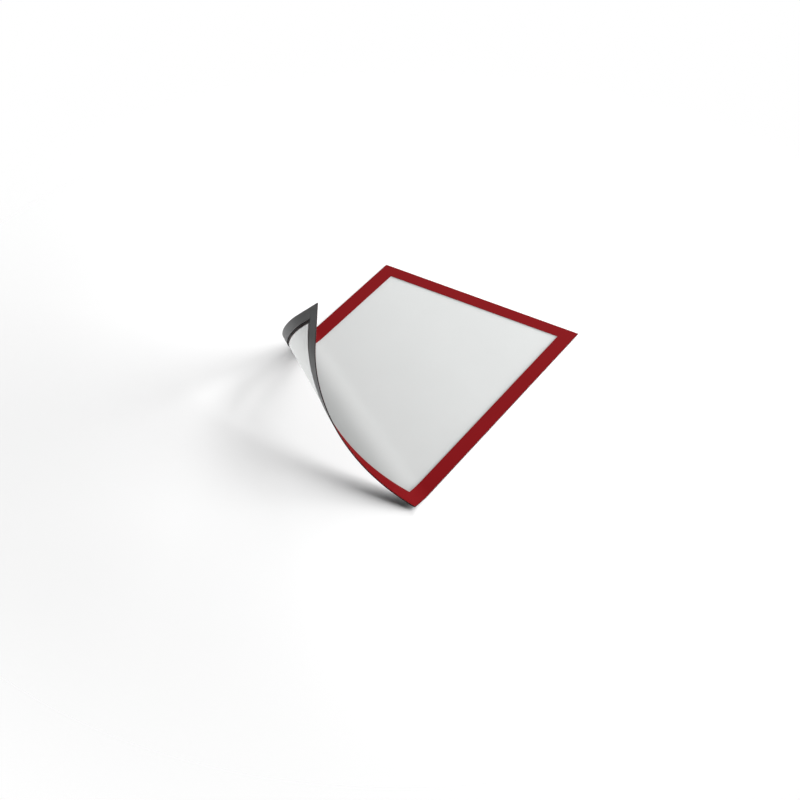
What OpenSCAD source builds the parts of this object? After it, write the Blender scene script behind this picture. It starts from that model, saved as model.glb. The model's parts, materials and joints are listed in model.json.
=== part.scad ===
/* [Frame] */
// Width of the frame, along its short edges
frame_w = 236; // [200:1:280]
// Height of the frame, along its long edges
frame_h = 323; // [290:1:360]
// Width of the coloured border that shows on the front
border_w = 15.8; // [14:0.1:22]
// Width of each magnetic strip on the back
strip_w = 12.5; // [8:0.1:13.5]
// Seam between two strips where they meet at a corner
strip_seam = 0.2; // [0.1:0.05:1]

/* [Layers] */
// Thickness of the coloured border foil on the front
foil_t = 0.15; // [0.1:0.01:0.3]
// Thickness of the clear window film behind the foil
film_t = 0.1; // [0.08:0.01:0.3]
// Thickness of the self-adhesive magnetic strips behind the film
strip_t = 0.8; // [0.6:0.05:1.5]

/* [Peeled corner] */
// Angle between the short edges and the first line that the sheet bends along
peel_angle = 34; // [30:0.5:38]
// Distance from the lower right corner to that line
peel_start = 22; // [15:1:40]
// Distance along that line to the point where all the bending lines meet
fan_reach = 1042; // [900:10:1400]
// Angle that the sheet turns through from the flat part to the straight tip
roll_angle = 119.5; // [60:0.5:140]
// Share of the way from that line to the strips' inner corner that is bent
bent_share = 0.925; // [0.8:0.005:1]
// Spare width in the gap between two links of the roll when it is pressed flat
link_spare = 0.03; // [0.02:0.01:0.2]

/* [Hidden] */
// Links that the peeled corner is divided into, and bends drawn in each
link_count = 10;
link_facets = 6;

// The least length or angle worth drawing
hair = 0.001;

// Nearest that an even bending line may lie to a corner's, as a share of the even step
least_step_share = 0.15;

total_t = film_t + foil_t + strip_t;
strip_front = foil_t + film_t;
radian = 180 / PI;

// Outlines on the flat sheet, each as its lower left and its upper right corner
half = [frame_w, frame_h] / 2;
frame_box = [-half, half];
window_box = inset(frame_box, border_w);
strip_inner = inset(frame_box, strip_w);
side_low = strip_inner[0].y + strip_seam;
side_high = strip_inner[1].y - strip_seam;
top_box = [[-half.x, strip_inner[1].y], half];
bottom_box = [-half, [half.x, strip_inner[0].y]];
left_box = [[-half.x, side_low], [strip_inner[0].x, side_high]];
right_box = [[strip_inner[1].x, side_low], [half.x, side_high]];
all_boxes = [frame_box, window_box, bottom_box, left_box, right_box];

// The first bending line, its normal towards the peeled corner, and the meeting point
line_dir = [cos(peel_angle), -sin(peel_angle)];
line_nor = [-sin(peel_angle), -cos(peel_angle)];
near_corner = [half.x, -half.y];
apex = near_corner - line_nor * peel_start - line_dir * fan_reach;

// The roll lies on a cone round that point, from the first bending line to the last
tip_fan = fan_of(-half);
bent_fan = fan_of(strip_inner[0]) * bent_share;
cone_half = atan(bent_fan / roll_angle);
cone_axis = concat(line_dir * cos(cone_half), sin(cone_half));

// Cuts between the links, with the gap that the back faces close when pressed flat
link_fan = bent_fan / link_count;
link_turn = roll_angle / link_count;
near_reach = near_end(frame_box, 0);
link_gap = total_t / 2 * link_turn / radian + link_spare;
gap_fan = link_gap / near_reach * radian;
facet_fan = link_fan / link_facets;

// Every bending line that is drawn on the roll: through corners, and at even steps
corner_fans = [for (b = all_boxes) each fans_of(b)];
even_fans = [for (i = [0:link_count * link_facets]) i * facet_fan];
roll_fans = concat([for (f = corner_fans) if (f > 0) f], clear_of(corner_fans, even_fans));

function inset(box, by) = [box[0] + [by, by], box[1] - [by, by]];
function corners(box) =
    [box[0], [box[1].x, box[0].y], box[1], [box[0].x, box[1].y]];
function fan_of(p) = atan2((p - apex) * line_nor, (p - apex) * line_dir);
function fans_of(box) = [for (p = corners(box)) fan_of(p)];
function least_fan(box) = min(fans_of(box));
function most_fan(box) = max(fans_of(box));
function clear_of(others, v) =
    [for (x = v) if (min([for (o = others) abs(x - o)]) > facet_fan * least_step_share) x];
function sorted(v) = len(v) == 0 ? [] : let (m = v[floor(len(v) / 2)])
    concat(
        sorted([for (x = v) if (x < m - hair) x]),
        m,
        sorted([for (x = v) if (x > m + hair) x])
    );

// Where a bending line at a given fan angle enters and leaves a box
function line_at(fan) = [cos(peel_angle + fan), -sin(peel_angle + fan)];
function near_end(box, fan) = let (d = line_at(fan))
    max((box[0].x - apex.x) / d.x, (box[1].y - apex.y) / d.y);
function far_end(box, fan) = let (d = line_at(fan))
    min((box[1].x - apex.x) / d.x, (box[0].y - apex.y) / d.y);

// A direction turned about an axis through the meeting point
function turned(v, axis, angle) =
    v * cos(angle) + cross(axis, v) * sin(angle) + axis * (axis * v) * (1 - cos(angle));

// A point of the flat sheet, so far from the meeting point and at a depth behind the
// front face, carried to its place: flat, on the cone, or on the straight tip past it
function placed(reach, fan, depth) =
    let (
        bent = min(max(fan, 0), bent_fan),
        along = reach * cos(fan - bent) * line_dir,
        across = reach * sin(fan - bent) * line_nor,
        from_apex = concat(along + across, -depth)
    )
    concat(apex, total_t) + turned(from_apex, cone_axis, -bent / sin(cone_half));

// The fan angles that a link lies between. Link 0 is the flat part and half of the first
// bend, which the window film has as a piece of its own.
function link_from(k) =
    k == 0 ? least_fan(frame_box) : (k - 0.5) * link_fan + gap_fan / 2;
function link_to(k) = k == link_count ? tip_fan : (k + 0.5) * link_fan - gap_fan / 2;
function film_to(k) = k == 0 ? 0 : link_to(k);
function on_link(box, k) =
    least_fan(box) < link_to(k) - hair && most_fan(box) > link_from(k) + hair;

// The bending lines that a piece is drawn with, between two fan angles
function lines_of(boxes, from, to) =
    let (start = max(from, least_fan(boxes[0])), stop = min(to, most_fan(boxes[0])))
    let (drawn = concat([for (b = boxes) each fans_of(b)], roll_fans))
    concat(start, sorted([for (f = drawn) if (f > start + hair && f < stop - hair) f]), stop);

// The reaches where a bending line enters a box, enters and leaves its window, and leaves
function crossings(boxes, fan) =
    let (a = near_end(boxes[0], fan), d = far_end(boxes[0], fan), window = boxes[1])
    window == undef ? [a, a, a, d] : [a, near_end(window, fan), far_end(window, fan), d];

// Which of these four are the same point: all where the line only touches a corner of
// the box, the window's two where it only touches the window, and three where it misses
function same_points(c) =
    c[3] - c[0] < hair ? [0, 0, 0, 0]
        : c[2] - c[1] > hair ? [0, 1, 2, 3]
        : abs(c[2] - c[1]) <= hair && c[1] - c[0] > hair ? [0, 1, 1, 3] : [0, 0, 0, 3];

function part_name(piece, k) = k == 0 ? str(piece, "_flat") : str(piece, "_roll_", k);
function parts_of(piece, box) =
    [for (k = [0:link_count]) if (on_link(box, k)) part_name(piece, k)];

// The share of a layer between two fan angles, and between two depths behind the front
// face, as one closed mesh. The boxes are the layer's outline, and its window if it has
// one, which leaves a near band and a far band of the layer beside it.
module share(boxes, front, back, from, to) {
    lines = lines_of(boxes, from, to);
    reaches = [for (f = lines) crossings(boxes, f)];
    same = [for (c = reaches) same_points(c)];
    points = [
        for (i = [0:len(lines) - 1], depth = [front, back], reach = reaches[i])
            placed(reach, lines[i], depth)
    ];
    last = len(lines) - 1;
    // Corners of a band's section, going round: front from near to far, then back again
    bands = [[[0, 0], [0, 1], [1, 1], [1, 0]], [[0, 2], [0, 3], [1, 3], [1, 2]]];
    function at(i, corner) = 8 * i + 4 * corner[0] + same[i][corner[1]];
    function joined(i) = same[i][1] == same[i][2];
    function inner(a, b) = a[1] == b[1] && (a[1] == 1 || a[1] == 2);
    sides = [
        for (i = [0:last - 1], band = bands, c = [0:3])
            let (a = band[c], b = band[(c + 1) % 4])
            if (!inner(a, b) || !joined(i) || !joined(i + 1))
            each [[at(i, a), at(i, b), at(i + 1, b)], [at(i, a), at(i + 1, b), at(i + 1, a)]]
    ];
    caps = [
        for (band = bands) let (r = [for (c = [3:-1:0]) band[c]])
            each [
                [at(0, r[0]), at(0, r[1]), at(0, r[2])],
                [at(0, r[0]), at(0, r[2]), at(0, r[3])],
                [at(last, r[2]), at(last, r[1]), at(last, r[0])],
                [at(last, r[3]), at(last, r[2]), at(last, r[0])]
            ]
    ];
    faces = [for (f = concat(sides, caps)) if (f[0] != f[1] && f[1] != f[2] && f[2] != f[0]) f];
    polyhedron(points, faces);
}

module border_foil(k) {
    color([0.54, 0.08, 0.12]) share([frame_box, window_box], 0, foil_t, link_from(k), link_to(k));
}

module window_film(from, to) {
    color([0.85, 0.86, 0.85]) share([frame_box], foil_t, strip_front, from, to);
}

module magnet(box, k) {
    color([0.3, 0.3, 0.32]) share([box], strip_front, total_t, link_from(k), link_to(k));
}

module top_magnet() {
    size = concat(top_box[1] - top_box[0], strip_t);
    color([0.3, 0.3, 0.32]) translate(concat(top_box[0], 0)) cube(size);
}

for (k = [0:link_count]) {
    border_foil(k);
    window_film(link_from(k), film_to(k));
    if (on_link(left_box, k))
        magnet(left_box, k);
    if (on_link(bottom_box, k))
        magnet(bottom_box, k);
    if (on_link(right_box, k))
        magnet(right_box, k);
}
window_film(0, link_to(0));  // window_film_bend
top_magnet();
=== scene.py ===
import json
from math import atan, atan2, cos, radians, sin, tan

import bmesh
import bpy
from mathutils import Matrix, Vector


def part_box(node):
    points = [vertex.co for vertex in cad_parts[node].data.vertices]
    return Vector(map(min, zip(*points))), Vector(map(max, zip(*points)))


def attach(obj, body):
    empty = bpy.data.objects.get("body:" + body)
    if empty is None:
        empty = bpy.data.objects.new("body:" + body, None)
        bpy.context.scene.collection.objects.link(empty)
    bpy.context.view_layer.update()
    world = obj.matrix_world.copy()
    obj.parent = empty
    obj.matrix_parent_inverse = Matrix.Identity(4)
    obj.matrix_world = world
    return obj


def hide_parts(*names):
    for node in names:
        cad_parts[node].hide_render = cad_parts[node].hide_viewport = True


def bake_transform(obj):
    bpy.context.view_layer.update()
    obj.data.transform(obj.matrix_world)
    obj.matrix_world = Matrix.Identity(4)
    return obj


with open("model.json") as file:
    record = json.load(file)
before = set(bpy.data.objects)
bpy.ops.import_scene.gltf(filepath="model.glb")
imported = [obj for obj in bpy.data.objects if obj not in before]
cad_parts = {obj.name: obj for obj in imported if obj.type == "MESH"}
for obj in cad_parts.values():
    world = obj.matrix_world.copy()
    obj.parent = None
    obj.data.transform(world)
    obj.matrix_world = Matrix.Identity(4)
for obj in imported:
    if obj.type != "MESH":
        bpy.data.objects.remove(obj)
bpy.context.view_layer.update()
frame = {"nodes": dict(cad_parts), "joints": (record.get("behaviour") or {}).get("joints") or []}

# Camera. It stands in front of the lower right corner of the frame and looks down on it
# with a long lens, as in the photograph, so that the peeled corner is on the left.
camera_aim = Vector((0.02025, -0.03126, 0.00105))
camera_distance = 1.8826
camera_azimuth = radians(31.949)
camera_elevation = radians(38.594)
camera_roll = radians(-0.212)
camera_lens = 85.254
camera_sensor = 36
camera_back = Vector((
    sin(camera_azimuth) * cos(camera_elevation),
    -cos(camera_azimuth) * cos(camera_elevation),
    sin(camera_elevation),
))
camera_right = Vector((cos(camera_azimuth), sin(camera_azimuth), 0))
camera_axes = Matrix((camera_right, camera_back.cross(camera_right), camera_back)).transposed()
camera = bpy.data.objects.new("camera", bpy.data.cameras.new("camera"))
camera.data.lens = camera_lens
camera.data.sensor_width = camera_sensor
camera.matrix_world = (
    Matrix.Translation(camera_aim + camera_back * camera_distance)
    @ camera_axes.to_4x4()
    @ Matrix.Rotation(-camera_roll, 4, "Z")
)
bpy.context.scene.collection.objects.link(camera)
bpy.context.scene.camera = camera

# Border foil. One ring die-cut from deep red plastic foil with a satin front, laminated on
# the front of the window film all round, with square corners and no seams. Like every
# layer it is cut as a flat sheet here, and its lower left corner is then rolled over.
strip_low, strip_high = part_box("top_magnet")
half_width, half_height = strip_high.x, strip_high.y
strip_width = strip_high.y - strip_low.y
strip_front = strip_high.z
film_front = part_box("border_foil_flat")[0].z
foil_thickness = 0.00015
foil_front = film_front + foil_thickness
border_width = 0.0158


def inset(by):
    """The box that lies so far inside the outline: left, bottom, right and top"""
    return (by - half_width, by - half_height, half_width - by, half_height - by)


def corners(box):
    """The corners of a box on the flat sheet, the lower left one first"""
    return [Vector((x, y)) for x in (box[0], box[2]) for y in (box[1], box[3])]


# All the bending lines meet in one point on the plane of the front face. From the first
# line to the last the sheet lies on a cone round that point, and past the last one the
# tip is straight. The joints' ranges add up to the whole turn.
peel_angle = radians(34)
peel_start = 0.022
fan_reach = 1.042
bent_share = 0.925
links = len(frame["joints"])
roll_angle = radians(sum(j["range_deg"][1] for j in frame["joints"]))
line_dir = Vector((cos(peel_angle), -sin(peel_angle)))
line_nor = Vector((-sin(peel_angle), -cos(peel_angle)))
meeting = Vector((half_width, -half_height)) - line_nor * peel_start - line_dir * fan_reach
frame_box = inset(0)


def fan_of(point):
    """The angle from the first bending line to the one through a point"""
    way = point - meeting
    return atan2(way.dot(line_nor), way.dot(line_dir))


bent_fan = fan_of(corners(inset(strip_width))[0]) * bent_share
cone_half = atan(bent_fan / roll_angle)
link_fan = bent_fan / links
rows_per_link = 24
sharp_edge = radians(30)

# Lengths and fan angles closer than a hair count as the same, and corners of a mesh that
# lie closer than the merging distance become one
hair = 1e-6
merging = 1e-7


def crossing(box, fan):
    """How far from the meeting point a bending line enters and leaves a box"""
    x, y = cos(peel_angle + fan), -sin(peel_angle + fan)
    enters = max((box[0] - meeting.x) / x, (box[3] - meeting.y) / y)
    leaves = min((box[2] - meeting.x) / x, (box[1] - meeting.y) / y)
    return enters, leaves


def on_line(reach, fan, height):
    """A point of the flat sheet on a bending line, so far from the meeting point"""
    return Vector((
        meeting.x + reach * cos(peel_angle + fan),
        meeting.y - reach * sin(peel_angle + fan),
        height,
    ))


def new_tree(name, kind, inputs, outputs):
    """A node tree with named sockets, and these sockets as its own nodes see them"""
    tree = bpy.data.node_groups.new(name, kind)
    for side, sockets in (("INPUT", inputs), ("OUTPUT", outputs)):
        for socket, carries in sockets.items():
            tree.interface.new_socket(socket, in_out=side, socket_type=f"NodeSocket{carries}")
    given = tree.nodes.new("NodeGroupInput").outputs
    out = tree.nodes.new("NodeGroupOutput").inputs
    return tree, given, out


def feed(tree, socket, value):
    """Gives a socket a number of its own, or links another node's socket to it"""
    if isinstance(value, (int, float)):
        socket.default_value = value
    else:
        tree.links.new(value, socket)


def maths(tree, operation, *values):
    """The result of a maths node, from numbers or sockets"""
    node = tree.nodes.new("ShaderNodeMath")
    node.operation = operation
    for socket, value in zip(node.inputs, values):
        feed(tree, socket, value)
    return node.outputs[0]


def roll_tree():
    """Geometry nodes that roll a flat sheet: each point turns round the meeting point by
    its bent fan angle, in the plane, and back round the cone's axis, out of the plane"""
    inputs = {
        "Geometry": "Geometry",
        "Meeting point": "Vector",
        "Line angle": "Float",
        "Bent fan": "Float",
        "Cone half angle": "Float",
        "Material": "Material",
        "Cut edge material": "Material",
    }
    outputs = {"Geometry": "Geometry"}
    tree, given, out = new_tree("corner_roll", "GeometryNodeTree", inputs, outputs)
    nodes, link = tree.nodes, tree.links.new

    def turned(vector, angle, axis=None):
        node = nodes.new("ShaderNodeVectorRotate")
        node.rotation_type = "AXIS_ANGLE" if axis else "Z_AXIS"
        link(vector, node.inputs["Vector"])
        link(given["Meeting point"], node.inputs["Center"])
        link(angle, node.inputs["Angle"])
        if axis:
            link(axis, node.inputs["Axis"])
        return node.outputs[0]

    # The sheet is turned until the first bending line lies along X
    squared = turned(nodes.new("GeometryNodeInputPosition").outputs[0], given["Line angle"])
    way = nodes.new("ShaderNodeVectorMath")
    way.operation = "SUBTRACT"
    link(squared, way.inputs[0])
    link(given["Meeting point"], way.inputs[1])
    parts = nodes.new("ShaderNodeSeparateXYZ")
    link(way.outputs[0], parts.inputs[0])
    across = maths(tree, "MULTIPLY", parts.outputs["Y"], -1)
    fan = maths(tree, "ARCTAN2", across, parts.outputs["X"])
    bent = maths(tree, "MINIMUM", maths(tree, "MAXIMUM", fan, 0), given["Bent fan"])
    half = given["Cone half angle"]
    axis = nodes.new("ShaderNodeCombineXYZ")
    link(maths(tree, "COSINE", half), axis.inputs["X"])
    link(maths(tree, "SINE", half), axis.inputs["Z"])
    turn = maths(tree, "MULTIPLY", maths(tree, "DIVIDE", bent, maths(tree, "SINE", half)), -1)
    rolled = turned(turned(squared, bent), turn, axis.outputs[0])
    back = maths(tree, "MULTIPLY", given["Line angle"], -1)
    place = nodes.new("GeometryNodeSetPosition")
    link(given["Geometry"], place.inputs["Geometry"])
    link(turned(rolled, back), place.inputs["Position"])
    whole = nodes.new("GeometryNodeRealizeInstances")
    link(place.outputs[0], whole.inputs[0])
    faces = nodes.new("GeometryNodeSetMaterial")
    link(whole.outputs[0], faces.inputs["Geometry"])
    link(given["Material"], faces.inputs["Material"])
    is_cut = nodes.new("GeometryNodeInputNamedAttribute")
    is_cut.data_type = "FLOAT"
    is_cut.inputs["Name"].default_value = "cut_edge"
    edges = nodes.new("GeometryNodeSetMaterial")
    link(faces.outputs[0], edges.inputs["Geometry"])
    link(is_cut.outputs["Attribute"], edges.inputs["Selection"])
    link(given["Cut edge material"], edges.inputs["Material"])
    link(edges.outputs[0], out["Geometry"])
    return tree


corner_roll = roll_tree()


def roll(piece, material, cut_material):
    """Rolls a flat piece with the tree and turns the result into its plain mesh"""
    modifier = piece.modifiers.new("corner_roll", "NODES")
    modifier.node_group = corner_roll
    values = {
        "Meeting point": (*meeting, foil_front),
        "Line angle": peel_angle,
        "Bent fan": bent_fan,
        "Cone half angle": cone_half,
        "Material": material,
        "Cut edge material": cut_material,
    }
    for item in corner_roll.interface.items_tree:
        if item.in_out == "INPUT" and item.name in values:
            modifier[item.identifier] = values[item.name]
    evaluated = piece.evaluated_get(bpy.context.evaluated_depsgraph_get())
    mesh = bpy.data.meshes.new_from_object(evaluated)
    piece.modifiers.clear()
    piece.data = mesh
    mesh.name = piece.name
    mesh.shade_smooth()
    mesh.set_sharp_from_angle(angle=sharp_edge)


def rows(boxes, fan_from, fan_to):
    """Fan angles of a piece's rows: even steps on the roll, and through every corner"""
    step = link_fan / rows_per_link
    least, beside_corner = step / 50, step / 5
    even = [i * step for i in range(links * rows_per_link + 1)]
    through = [fan_of(c) for box in boxes for c in corners(box)]
    kept = [f for f in even if min(abs(f - t) for t in through) > beside_corner] + through
    inside = sorted(f for f in kept if fan_from + least < f < fan_to - least)
    single = [f for f, after in zip(inside, inside[1:] + [fan_to]) if after - f > least]
    return [fan_from, *single, fan_to]


def flat_piece(name, boxes, front, back, fan_from, fan_to):
    """One closed piece of a flat layer, between two bending lines, with its cut edges
    marked. A window leaves a near and a far band of the layer beside it."""
    near_band, far_band = (0, 1), (2, 3)
    fans = [fan_of(c) for c in corners(boxes[0])]
    lines = rows(boxes, max(fan_from, min(fans)), min(fan_to, max(fans)))
    whole = bmesh.new()
    grid, open_rows = [], []
    for fan in lines:
        near, far = crossing(boxes[0], fan)
        far = max(near, far)
        gap = crossing(boxes[1], fan) if len(boxes) > 1 else (near, near)
        is_open = gap[1] - gap[0] > hair
        if gap[1] - gap[0] < -hair:
            gap = (near, near)
        open_rows.append(is_open)
        reaches = (near, gap[0], gap[1] if is_open else gap[0], far)
        grid.append([
            [whole.verts.new(on_line(reach, fan, height)) for reach in reaches]
            for height in (front, back)
        ])

    cut_edge = whole.faces.layers.float.new("cut_edge")

    def face(*verts, cut=0):
        whole.faces.new(verts)[cut_edge] = cut

    for i in range(len(lines) - 1):
        (top, low), (top_next, low_next) = grid[i], grid[i + 1]
        for a, b in (near_band, far_band):
            face(top[a], top_next[a], top_next[b], top[b])
            face(low[a], low[b], low_next[b], low_next[a])
        beside_window = open_rows[i] or open_rows[i + 1]
        walls = (*near_band, *far_band) if beside_window else (near_band[0], far_band[1])
        for a in walls:
            face(top[a], low[a], low_next[a], top_next[a], cut=1)
    for top, low in (grid[0], grid[-1]):
        for a, b in (near_band, far_band):
            face(top[a], top[b], low[b], low[a], cut=1)
    bmesh.ops.remove_doubles(whole, verts=whole.verts, dist=merging)
    bmesh.ops.dissolve_degenerate(whole, edges=whole.edges, dist=merging)
    bmesh.ops.recalc_face_normals(whole, faces=whole.faces)
    mesh = bpy.data.meshes.new(name)
    whole.to_mesh(mesh)
    whole.free()
    piece = bpy.data.objects.new(name, mesh)
    bpy.context.scene.collection.objects.link(piece)
    return piece


def lay(layer, boxes, front, back, material, cut_material):
    """Cuts a layer along the bending lines into its flat part and one piece for each link
    of the roll, and hides the CAD parts that they stand for. The flat part hangs on the flat
    body, and the roll's pieces stay where they are rolled."""
    fans = [fan_of(c) for c in corners(boxes[0])]
    for k in range(links + 1):
        fan_from = (k - 1) * link_fan if k else min(fans)
        fan_to = k * link_fan if k < links else max(fans)
        if min(fans) >= fan_to - hair or max(fans) <= fan_from + hair:
            continue
        part = f"{layer}_roll_{k}" if k else f"{layer}_flat"
        piece = flat_piece(f"{part}_skin", boxes, front, back, fan_from, fan_to)
        roll(piece, material, cut_material)
        stands_for = [part, layer] if k == 0 else [part]
        if k == 1:
            stands_for.append(f"{layer}_bend")
        for node in stands_for:
            if node in frame["nodes"]:
                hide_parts(node)
        if k == 0:
            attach(piece, "flat_part")
            continue
        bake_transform(piece)


def mapped(tree, value, ends, wanted, smooth=False):
    """A value between two ends, turned into one between two others"""
    node = tree.nodes.new("ShaderNodeMapRange")
    node.interpolation_type = "SMOOTHSTEP" if smooth else "LINEAR"
    for name, end in zip(("From Min", "From Max", "To Min", "To Max"), (*ends, *wanted)):
        feed(tree, node.inputs[name], end)
    feed(tree, node.inputs["Value"], value)
    return node.outputs["Result"]


def grain_group():
    """Speckle of a matt surface: fine grains, and clouds a hundred times their size"""
    cloud_scale = 0.01
    fine_detail, cloud_detail = 3, 2
    inputs = {"Vector": "Vector", "Grains per metre": "Float"}
    outputs = {"Fine": "Float", "Cloudy": "Float"}
    group, given, out = new_tree("surface_grain", "ShaderNodeTree", inputs, outputs)
    clouds_per_metre = maths(group, "MULTIPLY", given["Grains per metre"], cloud_scale)
    noises = [
        ("Fine", given["Grains per metre"], fine_detail),
        ("Cloudy", clouds_per_metre, cloud_detail),
    ]
    for name, scale, detail in noises:
        noise = group.nodes.new("ShaderNodeTexNoise")
        noise.inputs["Detail"].default_value = detail
        group.links.new(given["Vector"], noise.inputs["Vector"])
        group.links.new(scale, noise.inputs["Scale"])
        group.links.new(noise.outputs["Fac"], out[name])
    return group


surface_grain = grain_group()


def surface(name, dark, light, roughness, grains, depth, specular):
    """A material whose colour drifts between two tones and whose grain shows as bump"""
    roughness_spread, bump_strength = 0.06, 0.4
    material = bpy.data.materials.new(name)
    material.use_nodes = True
    tree = material.node_tree
    nodes, link = tree.nodes, tree.links.new
    shader = nodes["Principled BSDF"]
    shader.inputs["Specular IOR Level"].default_value = specular
    place = nodes.new("ShaderNodeTexCoord")
    grain = nodes.new("ShaderNodeGroup")
    grain.node_tree = surface_grain
    grain.inputs["Grains per metre"].default_value = grains
    link(place.outputs["Object"], grain.inputs["Vector"])
    tone = nodes.new("ShaderNodeMix")
    tone.data_type = "RGBA"
    tone.inputs["A"].default_value = (*dark, 1)
    tone.inputs["B"].default_value = (*light, 1)
    link(grain.outputs["Cloudy"], tone.inputs["Factor"])
    link(tone.outputs["Result"], shader.inputs["Base Color"])
    roughnesses = (roughness - roughness_spread, roughness + roughness_spread)
    rough = mapped(tree, grain.outputs["Fine"], (0, 1), roughnesses)
    link(rough, shader.inputs["Roughness"])
    bump = nodes.new("ShaderNodeBump")
    bump.inputs["Strength"].default_value = bump_strength
    bump.inputs["Distance"].default_value = depth
    link(grain.outputs["Fine"], bump.inputs["Height"])
    link(bump.outputs["Normal"], shader.inputs["Normal"])
    return material


def lift_group():
    """Painted shade of a surface by its height: 1 where it rests, and nearer to the lifted
    shade the further it is above that, nearly two thirds of the way at the lift scale"""
    inputs = {
        "Vector": "Vector",
        "Resting height": "Float",
        "Lift scale": "Float",
        "Lifted shade": "Float",
    }
    group, given, out = new_tree("painted_lift_shade", "ShaderNodeTree", inputs, {"Tone": "Float"})
    place = group.nodes.new("ShaderNodeSeparateXYZ")
    group.links.new(given["Vector"], place.inputs[0])
    sunk = maths(group, "SUBTRACT", given["Resting height"], place.outputs["Z"])
    resting = maths(group, "EXPONENT", maths(group, "DIVIDE", sunk, given["Lift scale"]))
    resting.node.use_clamp = True
    group.links.new(mapped(group, resting, (0, 1), (given["Lifted shade"], 1)), out["Tone"])
    return group


painted_lift_shade = lift_group()
lift_scale = 0.0055


def shade_painted_by_lift(tree, lifted_shade):
    """The painted shade of a layer of the frame, by its lift off the floor"""
    tone = tree.nodes.new("ShaderNodeGroup")
    tone.node_tree = painted_lift_shade
    tone.inputs["Resting height"].default_value = film_front
    tone.inputs["Lift scale"].default_value = lift_scale
    tone.inputs["Lifted shade"].default_value = lifted_shade
    tree.links.new(tree.nodes["Texture Coordinate"].outputs["Object"], tone.inputs["Vector"])
    return tone.outputs["Tone"]


def dimmed(tree, tone):
    """Paints shade into a colour: scales the base colour of a tree's shader by a tone, and gives
    the scaled colour
    """
    colour = tree.nodes["Principled BSDF"].inputs["Base Color"]
    scaled = tree.nodes.new("ShaderNodeVectorMath")
    scaled.operation = "SCALE"
    tree.links.new(colour.links[0].from_socket, scaled.inputs[0])
    tree.links.new(tone, scaled.inputs["Scale"])
    tree.links.new(scaled.outputs[0], colour)
    return scaled.outputs[0]


# Painted shade: the foil's red is made darker where it is lifted off the floor
red_shade_when_lifted = 0.62
foil_red = surface(
    "foil_red",
    dark=(0.16, 0.0029, 0.0044),
    light=(0.18, 0.0036, 0.0058),
    roughness=0.6,
    grains=2500,
    depth=0.00003,
    specular=0.01,
)
dimmed(foil_red.node_tree, shade_painted_by_lift(foil_red.node_tree, red_shade_when_lifted))
foil_boxes = [frame_box, inset(border_width)]
lay("border_foil", foil_boxes, foil_front, film_front, foil_red, foil_red)

# Window film. One sheet of film with a matt anti-glare face, as large as the frame, which
# carries the foil on its front and the magnetic strips on its back. Most of the light goes
# through it, scattered, and painted shade makes its colour greyer towards the bend and where it
# is lifted.
grey_shade_when_lifted, grey_shade_at_bend = 0.57, 0.945
bend_shade_reach = 0.12
scattered_share = 0.75
passing_tone = (0.92, 0.92, 0.92, 1)
film_matt = surface(
    "film_matt",
    dark=(0.675, 0.688, 0.682),
    light=(0.695, 0.708, 0.702),
    roughness=0.55,
    grains=1800,
    depth=0.00002,
    specular=0.5,
)
tree = film_matt.node_tree
nodes, link = tree.nodes, tree.links.new

# Painted shade: the film's colour is made greyer from some way before the first bending line on
towards_corner = nodes.new("ShaderNodeVectorMath")
towards_corner.operation = "DOT_PRODUCT"
towards_corner.inputs[1].default_value = (*line_nor, 0)
link(nodes["Texture Coordinate"].outputs["Object"], towards_corner.inputs[0])
first_line = meeting.dot(line_nor)
bend_shade = mapped(
    tree,
    towards_corner.outputs["Value"],
    (first_line - bend_shade_reach, first_line),
    (1, grey_shade_at_bend),
    smooth=True,
)
# Painted shade: the film's colour is also made greyer where it is lifted off the floor
lifted = shade_painted_by_lift(tree, grey_shade_when_lifted)
grey = dimmed(tree, maths(tree, "MULTIPLY", lifted, bend_shade))

# What is seen is partly the matt face and mostly light scattered through it, while shadow
# and bounced light go straight on
scattered = nodes.new("ShaderNodeBsdfTranslucent")
link(grey, scattered.inputs["Color"])
seen = nodes.new("ShaderNodeMixShader")
seen.inputs["Fac"].default_value = scattered_share
link(nodes["Principled BSDF"].outputs[0], seen.inputs[1])
link(scattered.outputs[0], seen.inputs[2])
ray = nodes.new("ShaderNodeLightPath").outputs
through = nodes.new("ShaderNodeBsdfTransparent")
through.inputs["Color"].default_value = passing_tone
let_through = nodes.new("ShaderNodeMixShader")
passes = maths(tree, "MAXIMUM", ray["Is Shadow Ray"], ray["Is Diffuse Ray"])
link(passes, let_through.inputs["Fac"])
link(seen.outputs[0], let_through.inputs[1])
link(through.outputs[0], let_through.inputs[2])
link(let_through.outputs[0], nodes["Material Output"].inputs["Surface"])
lay("window_film", [frame_box], film_front, strip_front, film_matt, film_matt)

# Magnetic strips. Four strips of dark grey magnetic rubber with black cut edges, cut square
# and stuck on the back of the film. The top and bottom ones run to the corners, and the
# others butt against them with a fine seam.
strip_seam = 0.0002
magnet_grey = surface(
    "magnet_grey",
    dark=(0.13, 0.133, 0.135),
    light=(0.15, 0.154, 0.156),
    roughness=0.45,
    grains=1200,
    depth=0.00006,
    specular=0.7,
)
magnet_cut = surface(
    "magnet_cut",
    dark=(0.008, 0.008, 0.009),
    light=(0.014, 0.014, 0.015),
    roughness=0.9,
    grains=3000,
    depth=0.00004,
    specular=0.05,
)
inner_left, inner_bottom, inner_right, inner_top = inset(strip_width)
low_end, high_end = inner_bottom + strip_seam, inner_top - strip_seam
strips = [
    ("left_magnet", (-half_width, low_end, inner_left, high_end)),
    ("right_magnet", (inner_right, low_end, half_width, high_end)),
    ("bottom_magnet", (-half_width, -half_height, half_width, inner_bottom)),
    ("top_magnet", (-half_width, inner_top, half_width, half_height)),
]
for strip, box in strips:
    lay(strip, [box], strip_front, 0, magnet_grey, magnet_cut)

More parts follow.
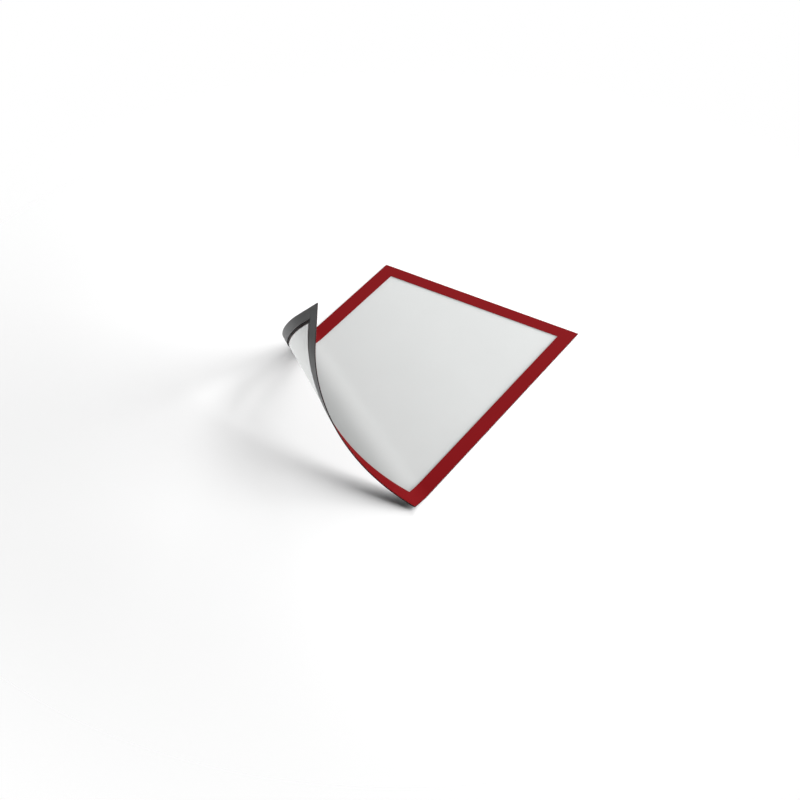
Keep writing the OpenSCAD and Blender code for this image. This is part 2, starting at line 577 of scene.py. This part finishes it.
# Floor. A plain white studio floor, which runs far past the frame and fades into the
# white room, so that no edge of it shows from any side.
floor_size = 6.0
floor_drop = 0.0001
fade_from, fade_to = 0.3, 0.65
bpy.ops.mesh.primitive_plane_add(size=floor_size, location=(0, 0, -floor_drop))
floor = bpy.context.object
floor.name = "floor"
floor_white = surface(
    "floor_white",
    dark=(0.86, 0.86, 0.86),
    light=(0.88, 0.88, 0.88),
    roughness=0.7,
    grains=400,
    depth=0.00001,
    specular=0.2,
)
tree = floor_white.node_tree
nodes, link = tree.nodes, tree.links.new
away = nodes.new("ShaderNodeVectorMath")
away.operation = "LENGTH"
link(nodes["Texture Coordinate"].outputs["Object"], away.inputs[0])
fade = mapped(tree, away.outputs["Value"], (fade_from, fade_to), (0, 1), smooth=True)
is_seen = nodes.new("ShaderNodeLightPath").outputs["Is Camera Ray"]
kept = maths(tree, "SUBTRACT", 1, maths(tree, "MULTIPLY", fade, is_seen))
link(kept, nodes["Principled BSDF"].inputs["Alpha"])
floor.data.materials.append(floor_white)

# Light. Three large soft boxes behind the frame, from the right round to the left, in a
# room that is white where it is seen and otherwise dark.
box_distance = 3
room_glow, room_seen = 0.01, 1


def soft_box(name, azimuth, elevation, wide, tall, lean, power):
    """A soft box that faces the frame: where it stands, half its width and height as seen
    from the frame, its lean from upright, all in degrees, and its power in watts"""
    box = bpy.data.objects.new(name, bpy.data.lights.new(name, "AREA"))
    box.data.shape = "ELLIPSE"
    box.data.size = 2 * box_distance * tan(radians(wide))
    box.data.size_y = 2 * box_distance * tan(radians(tall))
    box.data.energy = power
    way = Vector((
        cos(radians(azimuth)) * cos(radians(elevation)),
        sin(radians(azimuth)) * cos(radians(elevation)),
        sin(radians(elevation)),
    ))
    facing = way.to_track_quat("Z", "Y").to_matrix() @ Matrix.Rotation(radians(lean), 3, "Z")
    box.matrix_world = Matrix.Translation(way * box_distance) @ facing.to_4x4()
    bpy.context.scene.collection.objects.link(box)


soft_box("main_box", azimuth=54, elevation=49, wide=33, tall=6, lean=-23, power=64)
soft_box("back_box", azimuth=109, elevation=25, wide=9, tall=26, lean=44, power=87)
soft_box("right_box", azimuth=27, elevation=20, wide=22, tall=20, lean=0, power=147)
room = bpy.data.worlds.new("room")
room.use_nodes = True
tree = room.node_tree
is_seen = tree.nodes.new("ShaderNodeLightPath").outputs["Is Camera Ray"]
bright = mapped(tree, is_seen, (0, 1), (room_glow, room_seen))
background = tree.nodes["Background"]
background.inputs["Color"].default_value = (1, 1, 1, 1)
tree.links.new(bright, background.inputs["Strength"])
bpy.context.scene.world = room
bpy.context.scene.view_settings.view_transform = "Standard"
